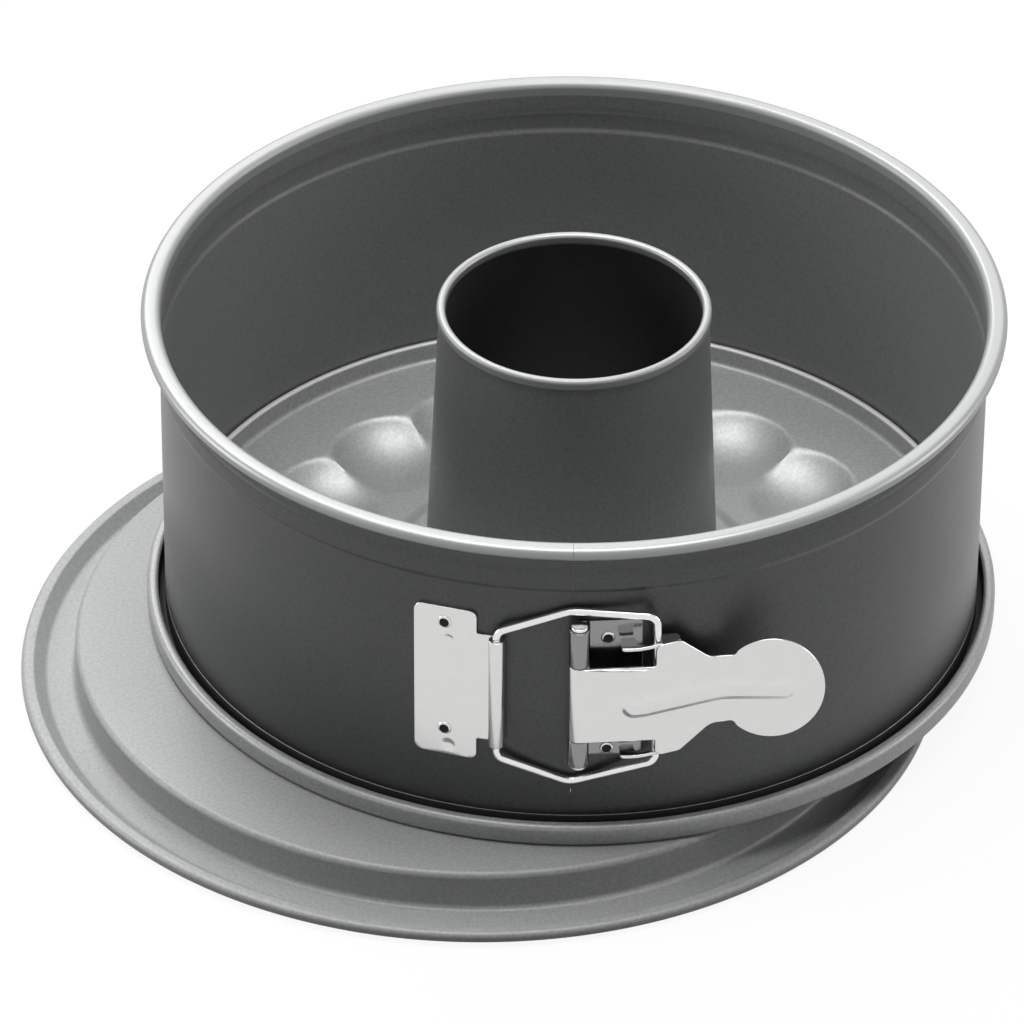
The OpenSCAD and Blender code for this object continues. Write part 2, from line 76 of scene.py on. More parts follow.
def rounded(corners, steps=6):
    """Closed outline through (x, y, radius) corners, each rounded by an arc."""
    outline = []
    count = len(corners)
    for i, (x, y, radius) in enumerate(corners):
        here = Vector((x, y))
        before = Vector(corners[i - 1][:2]) - here
        after = Vector(corners[(i + 1) % count][:2]) - here
        if radius <= 0:
            outline.append((x, y))
            continue
        half = before.angle(after) / 2
        back = min(radius / math.tan(half), before.length * 0.49, after.length * 0.49)
        reach = back * math.tan(half)
        start = here + before.normalized() * back
        end = here + after.normalized() * back
        middle = here + (before.normalized() + after.normalized()).normalized() * reach / math.sin(half)
        a, b = start - middle, end - middle
        sweep = a.angle_signed(b)
        for k in range(steps + 1):
            t = -sweep * k / steps
            outline.append((middle.x + a.x * math.cos(t) - a.y * math.sin(t),
                            middle.y + a.x * math.sin(t) + a.y * math.cos(t)))
    return outline


def piece(name, *shells):
    """Mesh object from closed shells in millimetres, welded, with outward faces and smooth shading."""
    verts, faces = [], []
    for shell_verts, shell_faces in shells:
        first = len(verts)
        verts.extend(Vector(v) * MM for v in shell_verts)
        faces.extend(tuple(first + i for i in face) for face in shell_faces)
    mesh = bpy.data.meshes.new(name)
    mesh.from_pydata(verts, [], faces)
    work = bmesh.new()
    work.from_mesh(mesh)
    bmesh.ops.remove_doubles(work, verts=work.verts, dist=1e-7)
    bmesh.ops.recalc_face_normals(work, faces=work.faces)
    work.to_mesh(mesh)
    work.free()
    mesh.shade_smooth()
    mesh.set_sharp_from_angle(angle=SHARP)
    obj = bpy.data.objects.new(name, mesh)
    bpy.context.scene.collection.objects.link(obj)
    return obj


def revolved(outline, centre, start=0.0, turn=360.0, steps=TURNS, height=None):
    """Shell of an outline of (radius, z) turned about the upright axis at centre; height may reshape z."""
    whole = turn >= 360
    columns = steps if whole else steps + 1
    verts, faces = [], []
    rows = len(outline)
    for j in range(columns):
        angle = math.radians(start + turn * j / steps)
        ca, sa = math.cos(angle), math.sin(angle)
        for r, z in outline:
            if height:
                z = height(r, angle, z)
            verts.append((centre[0] + r * ca, centre[1] + r * sa, z))
    for j in range(steps):
        a, b = j * rows, ((j + 1) % columns) * rows
        for i in range(rows):
            k = (i + 1) % rows
            if outline[i][0] == 0 and outline[k][0] == 0:
                continue
            faces.append((a + i, b + i, b + k, a + k))
    if not whole:
        faces.append(tuple(range(rows)))
        faces.append(tuple(range((columns - 1) * rows, columns * rows)))
    return verts, faces


def linear(hex_colour):
    """sRGB hex to linear RGBA."""
    parts = [int(hex_colour[i:i + 2], 16) / 255 for i in (0, 2, 4)]
    return tuple(c / 12.92 if c <= 0.04045 else ((c + 0.055) / 1.055) ** 2.4 for c in parts) + (1.0,)


def add(tree, kind, links=(), **settings):
    """Adds a node; settings name its properties, links pair an input with a value or an output."""
    node = tree.nodes.new(kind)
    for key, value in settings.items():
        setattr(node, key, value)
    for key, value in links:
        if isinstance(value, bpy.types.NodeSocket):
            tree.links.new(value, node.inputs[key])
        else:
            node.inputs[key].default_value = value
    return node


def shaded(hex_colour, share):
    """Linear colour made darker or lighter by a share."""
    return tuple(c * share for c in linear(hex_colour)[:3]) + (1.0,)


def noise(tree, place, grain, detail):
    """Noise with a grain in millimetres."""
    return add(tree, "ShaderNodeTexNoise", [("Vector", place), ("Scale", 1 / (grain * MM)),
                                            ("Detail", detail)]).outputs["Fac"]


def uneven(tree, shader, pattern, roughness, spread):
    """Lets the roughness vary by a spread along a pattern."""
    gloss = add(tree, "ShaderNodeMapRange", [("Value", pattern), ("To Min", roughness - spread),
                                             ("To Max", roughness + spread)])
    tree.links.new(gloss.outputs["Result"], shader.inputs["Roughness"])


def bumpy(tree, shader, pattern, depth, strength):
    """Gives the skin a relief of a depth in millimetres."""
    bump = add(tree, "ShaderNodeBump", [("Height", pattern), ("Distance", depth * MM),
                                        ("Strength", strength)])
    tree.links.new(bump.outputs["Normal"], shader.inputs["Normal"])


def baked_coat(name, colour, roughness, metallic, painted_highlights=()):
    """Sprayed and baked non-stick coat: a metallic grey with a fine orange peel.

    Between given heights the colour is lighter, a painted highlight on an edge; each band is (lowest z,
    highest z, colour).
    """
    coat = bpy.data.materials.new(name)
    coat.use_nodes = True
    tree = coat.node_tree
    shader = tree.nodes["Principled BSDF"]
    shader.inputs["Metallic"].default_value = metallic
    place = add(tree, "ShaderNodeTexCoord").outputs["Object"]
    fleck = noise(tree, place, COAT_GRAIN, 2.0)
    cloud = noise(tree, place, COAT_CLOUD, 3.0)
    tint = add(tree, "ShaderNodeValToRGB", [("Fac", fleck)])
    dark, light = [shaded(colour, share) for share in (1 - TINT_SPREAD, 1 + TINT_SPREAD)]
    tint.color_ramp.elements[0].position = 0.3
    tint.color_ramp.elements[0].color = dark
    tint.color_ramp.elements[1].position = 0.7
    tint.color_ramp.elements[1].color = light
    tone = tint.outputs["Color"]
    height = add(tree, "ShaderNodeSeparateXYZ", [("Vector", place)]).outputs["Z"]
    # Each band of height gets a lighter colour: a painted highlight on an edge.
    for low, high, highlight_colour in painted_highlights:
        middle, half = (low + high) / 2 * MM, (high - low) / 2 * MM
        inside = add(tree, "ShaderNodeMath", [(0, height), (1, middle), (2, half)], operation="COMPARE")
        tone = add(tree, "ShaderNodeMix", [(0, inside.outputs[0]), (6, tone), (7, linear(highlight_colour))],
                   data_type="RGBA").outputs[2]
    tree.links.new(tone, shader.inputs["Base Color"])
    uneven(tree, shader, cloud, roughness, GLOSS_SPREAD)
    bumpy(tree, shader, fleck, COAT_PEEL, COAT_RELIEF)
    return coat


def finish_piece(obj, material, body, nodes):
    """Gives a piece its material and its place in the frame."""
    obj.data.materials.append(material)
    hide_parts(*nodes)
    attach(obj, body)


base_coat = baked_coat("Baked non-stick coat, light metallic grey", "9c9d9d", 0.46, 0.06)
flat_centre = centre_of("flat_base")
flat_outline = rounded([
    (0, PLATEAU_TOP, 0), (PLATEAU_R, PLATEAU_TOP, 1.4), (PLATEAU_R, CHANNEL_FLOOR, 1.3),
    (CHANNEL_OUT, CHANNEL_FLOOR, 1.5), (LIP_IN, LIP_TOP, 0.7), (LIP_OUT, LIP_TOP, 1.15),
    (LIP_OUT, LIP_FOOT, 1.15), (LIP_OUT - 1.7, LIP_FOOT, 0.35), (LIP_OUT - 1.9, LIP_FOOT + 1, 0.3),
    (LIP_IN, LIP_TOP - 1.1, 0.4), (CHANNEL_OUT + 0.5, 0, 1.2), (PLATEAU_R - 0.2, 0, 1.8),
    (PLATEAU_R - SHEET, CHANNEL_FLOOR + 1, 0.4), (PLATEAU_R - SHEET, PLATEAU_TOP - SHEET, 0.8),
    (0, PLATEAU_TOP - SHEET, 0)])
flat_base = piece("flat_base_pressing", revolved(flat_outline, flat_centre))
finish_piece(flat_base, base_coat, "spare_base", ["flat_base"])

# Tube base
# The pan's working base: sheet steel pressed with a flat rim, a ring of sunken flutes
# around the tube, a stepped wall that the ring grips and a rolled hem outside it. Its
# coat shines more than the flat base's, and the press leaves soft edges at the flutes.
FLOOR = 16.6
FLUTES = 18
FLUTE_START = 13.0
FLUTE_DEPTH = 5.9
FLUTE_BALL = 21.6
FLUTE_PAST = 2.5
TROUGH_R = 70.8
TROUGH_DEPTH = 4.0
TROUGH_IN = 32.55
COLLAR_W = 8.0
FLANGE_W = 3.2
COLLAR_LEFT = 0.1
SOFT_EDGE = 0.55
TROUGH_END = 76
FLAT_START = 75.6
SHOULDER_IN = 88.0
SHOULDER_OUT = 89.3
SHOULDER_TOP = 20.8
SLOT_IN = 90.1
SLOT_OUT = 91.6
SLOT_FLOOR = 10.4
HEM_IN = 89.5
HEM_OUT = 94.2
HEM_TOP = 14.9
HEM_FOOT = 9.8
LEDGE = 15.2
flute_half = math.sqrt(FLUTE_BALL ** 2 - (FLUTE_BALL - FLUTE_DEPTH) ** 2)
flute_ring = TROUGH_R + FLUTE_PAST - flute_half


def eased(t):
    """Soft step from 0 to 1 while t goes from 0 to 1."""
    t = min(max(t, 0.0), 1.0)
    return (1 - math.cos(math.pi * t)) / 2


def blended_max(a, b, width):
    """Larger of two depths, with a rounded change from one to the other."""
    h = max(width - abs(a - b), 0) / width
    return max(a, b) + h * h * width / 4


def trough_depth(r, angle):
    """Depth of the fluted trough under the baking floor."""
    inner = eased((r - TROUGH_IN - FLANGE_W) / COLLAR_W)
    inner = max(COLLAR_LEFT, inner * (1 - (1 - COLLAR_LEFT) * (1 - inner)))
    outer = eased((TROUGH_R - r) / (TROUGH_R - flute_ring))
    crest = TROUGH_DEPTH * inner * outer
    pitch = 360 / FLUTES
    off = (math.degrees(angle) - FLUTE_START + pitch / 2) % pitch - pitch / 2
    away = r * r + flute_ring ** 2 - 2 * r * flute_ring * math.cos(math.radians(off))
    ball = math.sqrt(max(FLUTE_BALL ** 2 - away, 0)) - (FLUTE_BALL - FLUTE_DEPTH)
    return blended_max(crest, ball, SOFT_EDGE)


def base_height(r, angle, z):
    """Drops the points of the floor and of its underside into the trough."""
    if r > TROUGH_END or z > FLOOR + 0.01:
        return z
    return z - trough_depth(r, angle) * eased((TROUGH_END - r) / 2)


axis = centre_of("centre_tube")
TROUGH_ROWS = 72
UNDER_ROWS = 34
trough_wide = FLAT_START - 0.1 - TROUGH_IN
trough_top = [(TROUGH_IN + trough_wide * i / TROUGH_ROWS, FLOOR) for i in range(TROUGH_ROWS + 1)]
trough_under = [(TROUGH_IN + trough_wide * i / UNDER_ROWS, FLOOR - SHEET) for i in range(UNDER_ROWS, -1, -1)]
rim_outline = rounded([
    (FLAT_START, FLOOR, 0), (SHOULDER_IN - 1.1, FLOOR, 1.4), (SHOULDER_IN, SHOULDER_TOP, 0.5),
    (SHOULDER_OUT, SHOULDER_TOP, 0.6), (SHOULDER_OUT, LEDGE, 0.2), (SLOT_IN, LEDGE, 0.15),
    (SLOT_IN, SLOT_FLOOR, 0.15), (SLOT_OUT, SLOT_FLOOR, 0.15), (SLOT_OUT, HEM_TOP, 0.9),
    (HEM_OUT, HEM_TOP, 1.2), (HEM_OUT, HEM_FOOT, 1.2), (HEM_IN, HEM_FOOT, 0.5),
    (HEM_IN, LEDGE - SHEET, 0.2), (SHOULDER_OUT - 0.7, LEDGE - SHEET, 0.4), (88.2, 16.9, 0.4),
    (87.6, FLOOR - SHEET, 0.6), (FLAT_START, FLOOR - SHEET, 0)])
tube_base = piece("tube_base_pressing", revolved(trough_top + rim_outline + trough_under, axis,
                                                 steps=24 * FLUTES, height=base_height, start=3.0))
# The shoulder's top edge gets a lighter band of colour: a painted highlight.
cake_base_coat = baked_coat("Baked non-stick coat of the cake base, metallic grey", "a2a3a3", 0.42, 0.3,
                            [(SHOULDER_TOP - 0.5, SHOULDER_TOP + 0.4, "e0e0e0")])
finish_piece(tube_base, cake_base_coat, "pan_base", ["tube_base"])

# The slot between the ring's ledge and the hem gets a near-black material: painted shade.
painted_slot_shade = baked_coat("Painted shade in the hem's slot", "121212", 0.7, 0.0)
tube_base.data.materials.append(painted_slot_shade)
for face in tube_base.data.polygons:
    place = face.center / MM - Vector((axis[0], axis[1], 0))
    in_slot = SLOT_IN - 0.05 < place.xy.length < SLOT_OUT + 0.15
    if in_slot and SLOT_FLOOR - 0.2 < place.z < LEDGE - 0.1:
        face.material_index = 1

# Centre tube
# A slightly tapered chimney of thin sheet, its top edge rolled and its foot folded under
# the tube base. Dark lacquer inside, and a mid grey coat on the side that meets the cake,
# lighter partly as painted light for the light bouncing inside the ring; both get a
# painted highlight, a lighter band of colour, on the rolled edge.
THIN = 0.5
EDGE_IN = 27.95
EDGE_OUT = 29.9
EDGE_TOP = 85.55
TUBE_FOOT_R = 32.0
TUBE_FOOT = 15.1
FLANGE_OUT = 35.6
# Painted highlight: a lighter band of colour on the rolled top edges of the ring and the tube.
ROLLED_EDGE_HIGHLIGHT = [(83.4, 86.6, "9a9b9b")]
dark_coat = baked_coat("Baked lacquer of the outside, dark metallic grey", "4e4f4f", 0.4, 0.6, ROLLED_EDGE_HIGHLIGHT)
# The cake side's coat is lighter than the outside's, partly as painted light: it stands in for the light
# bouncing inside the ring.
cake_coat = baked_coat("Baked non-stick coat of the inside, mid grey", "7c7d7d", 0.42, 0.2, ROLLED_EDGE_HIGHLIGHT)

tube_outline = rounded([
    (EDGE_OUT - THIN, 83.3, 0.1), (EDGE_OUT, 83.4, 0.3), (EDGE_OUT, EDGE_TOP, 0.85),
    (EDGE_IN, EDGE_TOP, 0.85), (EDGE_IN, 83.5, 0.5), (28.9, 82.6, 0.5), (TUBE_FOOT_R, FLOOR, 0),
    (TUBE_FOOT_R, TUBE_FOOT, 0.1), (FLANGE_OUT, TUBE_FOOT, 0.2), (FLANGE_OUT, TUBE_FOOT + THIN, 0.1),
    (TUBE_FOOT_R + THIN, TUBE_FOOT + THIN, 0.1), (TUBE_FOOT_R + THIN, FLOOR - 0.2, 0)])


def coat_cake_side(obj, coat, sign):
    """Gives the coat to the faces that look away from the axis (sign 1) or towards it (-1)."""
    obj.data.materials.append(coat)
    middle = Vector((axis[0], axis[1], 0)) * MM
    for face in obj.data.polygons:
        out = face.center - middle
        out.z = 0
        if sign * out.normalized().dot(face.normal) > 0.35:
            face.material_index = 1


centre_tube = piece("centre_tube_sheet", revolved(tube_outline, axis, steps=160))
finish_piece(centre_tube, dark_coat, "pan_base", ["centre_tube"])
coat_cake_side(centre_tube, cake_coat, 1)

# Ring band
# The springform ring: a strip of sheet with a shallow stiffening bead under a rim that
# is rolled outwards. It is open at the front, behind the latch; at the back it bends,
# which the two halves stand in for.
RING_IN = 89.6
RING_OUT = 90.1
RING_TURNS = 144
RIM_Z = 85.0
RIM_TOP = 86.45
RIM_FOOT = 83.55
RIM_OUT = 94.0
RIM_START = 80.5
BEAD_Z = 76.4
BEAD_HALF = 3.3
BEAD_RISE = 0.5
BEAD_SLOPE = 1.7
BEAD_STEPS = 20
LAP_IN = 89.05
LAP_OUT = 89.58
LAP_FOOT = 21.8
LAP_TOP = 73.2
LAP_START = 266.3
LAP_TURN = 7.5
SPLIT = 0.3
SPLIT_HALF = 0.02


def bead_side(r, step):
    """Points of the stiffening bead's bump, upwards (step 1) or downwards (-1)."""
    heights = [BEAD_HALF * (2 * i / BEAD_STEPS - 1) for i in range(BEAD_STEPS + 1)][::step]
    return [(r + BEAD_RISE * eased((BEAD_HALF - abs(h)) / BEAD_SLOPE), BEAD_Z + h) for h in heights]


ring_outline = (
    rounded([(RING_IN + 0.01, 82.0, 0), (RING_IN, LEDGE, 0.15), (RING_OUT, LEDGE, 0.2),
             (RING_OUT, 70, 0)])[1:-1]
    + bead_side(RING_OUT, 1)
    + rounded([(RING_OUT, RIM_START, 0), (RING_OUT + 0.2, RIM_FOOT, 0.3), (RIM_OUT, RIM_FOOT, 1.35),
               (RIM_OUT, RIM_TOP, 1.45), (RING_IN + 0.15, RIM_TOP, 1.45), (RING_IN, RIM_START, 0)], 8)[1:]
    + bead_side(RING_IN, -1))
left_half = revolved(ring_outline, axis, start=90, turn=180 + SPLIT - SPLIT_HALF, steps=RING_TURNS)
right_half = revolved(ring_outline, axis, start=270 + SPLIT + SPLIT_HALF, turn=180 - SPLIT - SPLIT_HALF,
                      steps=RING_TURNS)
lap_outline = rounded([(LAP_IN, LAP_FOOT, 0.15), (LAP_OUT, LAP_FOOT, 0.15), (LAP_OUT, LAP_TOP, 0.15),
                       (LAP_IN, LAP_TOP, 0.15)])
lap_strip = revolved(lap_outline, axis, start=LAP_START, turn=LAP_TURN, steps=10)
left_ring = piece("ring_left_half", left_half, lap_strip)
right_ring = piece("ring_right_half", right_half)
finish_piece(left_ring, dark_coat, "ring_left", ["ring_band_left"])
finish_piece(right_ring, dark_coat, "ring_right", ["ring_band_right"])
# The faces towards the axis get the lighter cake-side coat, partly painted light inside the ring.
for half in (left_ring, right_ring):
    coat_cake_side(half, cake_coat, -1)

# Keeper plate
# The fixed half of the latch: a blank of bright tin-plated sheet, riveted to the band to
# the left of its split. Its tongue is curled round into an open roll that holds the wire.
LATCH_Z = 47.8
LATCH_T = 0.8
WIRE_R = 0.9
RUN = 0.05
KEEPER_ANGLE = -9.6
KEEPER_R = 92.0
KEEPER_START = 12.4
KEEPER_HALF = 6.95
KEEPER_TOP = 19.1
TONGUE_TOP = 13.6
ROLL_TOP = 13.7
KEEPER_MID = -(KEEPER_START + math.degrees(KEEPER_HALF / RING_OUT))
KEEPER_DIMPLES = [(0.8, 11.1, 1.5, 0.35), (0.8, -16.3, 1.5, 0.35)]
ROLL_OUT = WIRE_R + RUN + LATCH_T
TIN_CLOUD = 3
TIN_SHADE = 0.92
TIN_SPREAD = 0.05
TIN_RELIEF = 0.6
QUARTER = [(1 - math.sin(math.radians(a)), 1 - math.cos(math.radians(a))) for a in (0, 30, 60, 90)]


def tin_plate(name, colour, roughness, wave_mm, wave_depth):
    """Plated metal, a little clouded and unevenly pressed."""
    tin = bpy.data.materials.new(name)
    tin.use_nodes = True
    tree = tin.node_tree
    shader = tree.nodes["Principled BSDF"]
    shader.inputs["Metallic"].default_value = 1.0
    place = add(tree, "ShaderNodeTexCoord").outputs["Object"]
    cloud = noise(tree, place, TIN_CLOUD, 4.0)
    tint = add(tree, "ShaderNodeValToRGB", [("Fac", cloud)])
    tint.color_ramp.elements[0].color = shaded(colour, TIN_SHADE)
    tint.color_ramp.elements[1].color = linear(colour)
    tree.links.new(tint.outputs["Color"], shader.inputs["Base Color"])
    uneven(tree, shader, cloud, roughness, TIN_SPREAD)
    bumpy(tree, shader, noise(tree, place, wave_mm, 1.0), wave_depth, TIN_RELIEF)
    return tin


def at(angle, r, up):
    """Point at an angle from the front to the right, a radius and a height over the latch's middle."""
    turn = math.radians(angle)
    return axis[0] + r * math.sin(turn), axis[1] - r * math.cos(turn), LATCH_Z + up


def moved_in(outline, inset):
    """Outline drawn in by a small inset, each corner along its bisector."""
    area = sum(outline[i - 1][0] * y - x * outline[i - 1][1] for i, (x, y) in enumerate(outline))
    side = 1 if area > 0 else -1
    moved = []
    for i, corner in enumerate(outline):
        here = Vector(corner)
        u = (here - Vector(outline[i - 1])).normalized()
        w = (Vector(outline[(i + 1) % len(outline)]) - here).normalized()
        both = u + w
        if both.length < 1e-6:
            both = u
        both.normalize()
        moved.append(tuple(here + side * inset / max(both.dot(u), 0.5) * Vector((-both.y, both.x))))
    return moved


def layered(outline, depth, edge, place, cap):
    """Shell of an outline cut from a sheet with rounded edges.

    place puts (x, y, depth) in the pan; cap is the grain of points inside the faces, or None for flat faces.
    """
    levels = [(edge * a, edge * b) for a, b in QUARTER]
    levels += [(a, depth - b) for a, b in reversed(levels)]
    count = len(outline)
    verts, faces = [], []
    for inset, down in levels:
        verts.extend(place(x, y, down) for x, y in moved_in(outline, inset))
    for k in range(len(levels) - 1):
        for i in range(count):
            j = (i + 1) % count
            faces.append((k * count + i, k * count + j, (k + 1) * count + j, (k + 1) * count + i))
    if not cap:
        faces.append(tuple(range(count)))
        faces.append(tuple(range((len(levels) - 1) * count, len(levels) * count)))
        return verts, faces
    for level, down in ((0, 0.0), (len(levels) - 1, depth)):
        ring = moved_in(outline, edge)
        low = [min(p[i] for p in ring) for i in (0, 1)]
        high = [max(p[i] for p in ring) for i in (0, 1)]
        inside = []
        for a in range(int((high[0] - low[0]) / cap) + 1):
            for b in range(int((high[1] - low[1]) / cap) + 1):
                point = Vector((low[0] + (a + 0.5) * cap, low[1] + (b + 0.5) * cap))
                if all((point - Vector(p)).length > 0.6 * cap for p in ring):
                    inside.append(point)
        edges = [(i, (i + 1) % count) for i in range(count)]
        given = [Vector(p) for p in ring] + inside
        points, _, cells, sources, _, _ = delaunay_2d_cdt(given, edges, [], 1, 1e-6)
        index = []
        for point, source in zip(points, sources):
            if source and source[0] < count:
                index.append(level * count + source[0])
            else:
                index.append(len(verts))
                verts.append(place(point.x, point.y, down))
        faces.extend(tuple(index[i] for i in cell) for cell in cells)
    return verts, faces


def pressed_on_band(outline, angle, depth=LATCH_T, edge=0.22, dimples=()):
    """Shell of a sheet on the band, outline seen along an angle; dimples are (x, y, radius, depth)."""
    outer = RING_OUT + depth

    def place(x, y, down):
        marks = dimples if down == 0 else ()
        sunk = sum(d * eased(1.4 * (1 - math.hypot(x - a, y - b) / r)) for a, b, r, d in marks)
        turn = angle + math.degrees(math.asin(x / outer))
        return at(turn, outer - down - sunk, y)

    return layered(outline, depth, edge, place, 0.45 if dimples else 0.9)


def curl(angle, r, inner, outer, start, sweep, steps=28):
    """Plan of a strip curled round an upright axis; angles from the right, over the outside."""
    middle = Vector(at(angle, r, 0)[:2])
    turn = math.radians(angle)
    along = Vector((math.cos(turn), math.sin(turn)))
    out = Vector((math.sin(turn), -math.cos(turn)))

    def arc(radius, first, last):
        for k in range(steps + 1):
            a = math.radians(first + (last - first) * k / steps)
            yield tuple(middle + radius * (math.cos(a) * along + math.sin(a) * out))

    return list(arc(outer, start, start + sweep)) + list(arc(inner, start + sweep, start))


def upright(plan, low, high, edge=0.2):
    """Shell of a plan outline raised from one height over the latch's middle to another."""
    return layered(plan, high - low, edge, lambda x, y, down: (x, y, LATCH_Z + high - down), None)


tin_sheet = tin_plate("Tin-plated sheet steel, bright", "d8d8d7", 0.22, 5, 0.05)
tongue_x = RING_OUT * math.sin(math.radians(KEEPER_ANGLE - KEEPER_MID)) + 0.4
keeper_outline = rounded([
    (-KEEPER_HALF, -KEEPER_TOP, 2), (KEEPER_HALF, -KEEPER_TOP, 1.6), (KEEPER_HALF, -TONGUE_TOP, 0.5),
    (tongue_x, -TONGUE_TOP, 0), (tongue_x, TONGUE_TOP, 0), (KEEPER_HALF, TONGUE_TOP, 0.5),
    (KEEPER_HALF, KEEPER_TOP, 1.6), (-KEEPER_HALF, KEEPER_TOP, 2)])
keeper_blank = pressed_on_band(keeper_outline, KEEPER_MID, dimples=KEEPER_DIMPLES)
keeper_roll = upright(curl(KEEPER_ANGLE, KEEPER_R, WIRE_R + RUN, ROLL_OUT, -118, 320), -ROLL_TOP, ROLL_TOP)
keeper = piece("keeper_plate_blank", keeper_blank, keeper_roll)
finish_piece(keeper, tin_sheet, "ring_left", ["keeper_plate"])

# Rivets
# Small dished rivets of the same plated steel go through the plates and the band; their
# tails are closed flat on the inside. Two hold the keeper plate, four the bracket.
HEAD_R = 1.5
HEAD_H = 0.55
DISH_R = 1.1
DISH_FLOOR_R = 0.6
DISH_DEPTH = 0.45
TAIL_R = 1.3
TAIL_T = 0.26
GRIP = 1.34
KEEPER_RIVETS = [(KEEPER_MID, 15.5), (KEEPER_MID, -12.1)]
BRACKET_RIVETS = [(5, up) for up in (14.5, 5, -4.7, -14.2)]


def group_socket(tree, name, kind, value=None):
    """Named input of a node group."""
    socket = tree.interface.new_socket(name, in_out="INPUT", socket_type=kind)
    if value is not None:
        socket.default_value = value


def rivet_tree(material, dish_shade_material):
    """Node group that sets a dished rivet on each point, turned by the point's own angle; the dish gets a
    second, near-black material as painted shade.
    """
    tree = bpy.data.node_groups.new("rivets", "GeometryNodeTree")
    group_socket(tree, "Points", "NodeSocketGeometry")
    sizes = [("Head radius", HEAD_R), ("Head height", HEAD_H), ("Dish radius", DISH_R),
             ("Dish floor radius", DISH_FLOOR_R), ("Dish depth", DISH_DEPTH), ("Tail radius", TAIL_R),
             ("Tail thickness", TAIL_T), ("Grip", GRIP)]
    for name, size in sizes:
        group_socket(tree, name, "NodeSocketFloat", size * MM)
    tree.interface.new_socket("Rivets", in_out="OUTPUT", socket_type="NodeSocketGeometry")
    given = tree.nodes.new("NodeGroupInput").outputs
    head = add(tree, "GeometryNodeMeshUVSphere", [("Segments", 24), ("Rings", 24),
                                                  ("Radius", given["Head radius"])]).outputs[0]
    flat = add(tree, "ShaderNodeMath", [(0, given["Head height"]), (1, given["Head radius"])],
               operation="DIVIDE").outputs[0]
    squash = add(tree, "ShaderNodeCombineXYZ", [("X", 1.0), ("Y", 1.0), ("Z", flat)]).outputs[0]
    dome = add(tree, "GeometryNodeTransform", [("Geometry", head), ("Scale", squash)]).outputs[0]
    spot = add(tree, "GeometryNodeInputPosition").outputs[0]
    plan = add(tree, "ShaderNodeVectorMath", [(0, spot), (1, (1, 1, 0))], operation="MULTIPLY").outputs[0]
    off_centre = add(tree, "ShaderNodeVectorMath", [(0, plan)], operation="LENGTH").outputs["Value"]
    height = add(tree, "ShaderNodeSeparateXYZ", [("Vector", spot)]).outputs["Z"]
    outside = add(tree, "FunctionNodeCompare", [("A", height), ("B", 0.05 * MM)],
                  operation="GREATER_THAN").outputs[0]
    sunk = add(tree, "ShaderNodeMapRange", [("Value", off_centre), ("From Min", given["Dish radius"]),
                                            ("From Max", given["Dish floor radius"]), ("To Min", 0),
                                            ("To Max", -1)], interpolation_type="SMOOTHSTEP").outputs[0]
    drop = add(tree, "ShaderNodeMath", [(0, sunk), (1, given["Dish depth"])], operation="MULTIPLY").outputs[0]
    offset = add(tree, "ShaderNodeCombineXYZ", [("Z", drop)]).outputs[0]
    dished = add(tree, "GeometryNodeSetPosition", [("Geometry", dome), ("Selection", outside),
                                                   ("Offset", offset)]).outputs[0]
    plated = add(tree, "GeometryNodeSetMaterial", [("Geometry", dished), ("Material", material)]).outputs[0]
    # The dish of each head gets the near-black material: painted shade.
    within = add(tree, "FunctionNodeCompare", [("A", off_centre), ("B", given["Dish radius"])],
                 operation="LESS_THAN").outputs[0]
    dark = add(tree, "GeometryNodeSetMaterial", [("Geometry", plated), ("Selection", within),
                                                 ("Material", dish_shade_material)]).outputs[0]
    tail = add(tree, "GeometryNodeMeshCylinder", [("Vertices", 24), ("Radius", given["Tail radius"]),
                                                  ("Depth", given["Tail thickness"])]).outputs[0]
    back = add(tree, "ShaderNodeMath", [(0, given["Grip"]), (1, -1.0)], operation="MULTIPLY").outputs[0]
    down = add(tree, "ShaderNodeCombineXYZ", [("Z", back)]).outputs[0]
    tail_set = add(tree, "GeometryNodeTransform", [("Geometry", tail), ("Translation", down)]).outputs[0]
    tail_plated = add(tree, "GeometryNodeSetMaterial", [("Geometry", tail_set),
                                                        ("Material", material)]).outputs[0]
    both = add(tree, "GeometryNodeJoinGeometry")
    tree.links.new(dark, both.inputs[0])
    tree.links.new(tail_plated, both.inputs[0])
    angle = add(tree, "GeometryNodeInputNamedAttribute", [("Name", "turn")], data_type="FLOAT")
    facing = add(tree, "ShaderNodeCombineXYZ", [("X", math.pi / 2), ("Z", angle.outputs[0])]).outputs[0]
    spread = add(tree, "GeometryNodeInstanceOnPoints", [("Points", given["Points"]),
                                                        ("Instance", both.outputs[0]),
                                                        ("Rotation", facing)]).outputs[0]
    real = add(tree, "GeometryNodeRealizeInstances", [("Geometry", spread)]).outputs[0]
    add(tree, "NodeGroupOutput", [("Rivets", real)])
    return tree


def rivet_row(name, tree, places, body, node):
    """Rivets at (angle, height) places, made into one plain mesh."""
    points = bpy.data.meshes.new(name + "_points")
    points.from_pydata([Vector(at(a, RING_OUT + LATCH_T, up)) * MM for a, up in places], [], [])
    turns = points.attributes.new("turn", "FLOAT", "POINT")
    for i, (a, up) in enumerate(places):
        turns.data[i].value = math.radians(a)
    seed = bpy.data.objects.new(name + "_points", points)
    bpy.context.scene.collection.objects.link(seed)
    maker = seed.modifiers.new("rivets", "NODES")
    maker.node_group = tree
    mesh = bpy.data.meshes.new_from_object(seed.evaluated_get(bpy.context.evaluated_depsgraph_get()))
    bpy.data.objects.remove(seed)
    mesh.shade_smooth()
    mesh.set_sharp_from_angle(angle=SHARP)
    obj = bpy.data.objects.new(name, mesh)
    bpy.context.scene.collection.objects.link(obj)
    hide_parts(node)
    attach(obj, body)


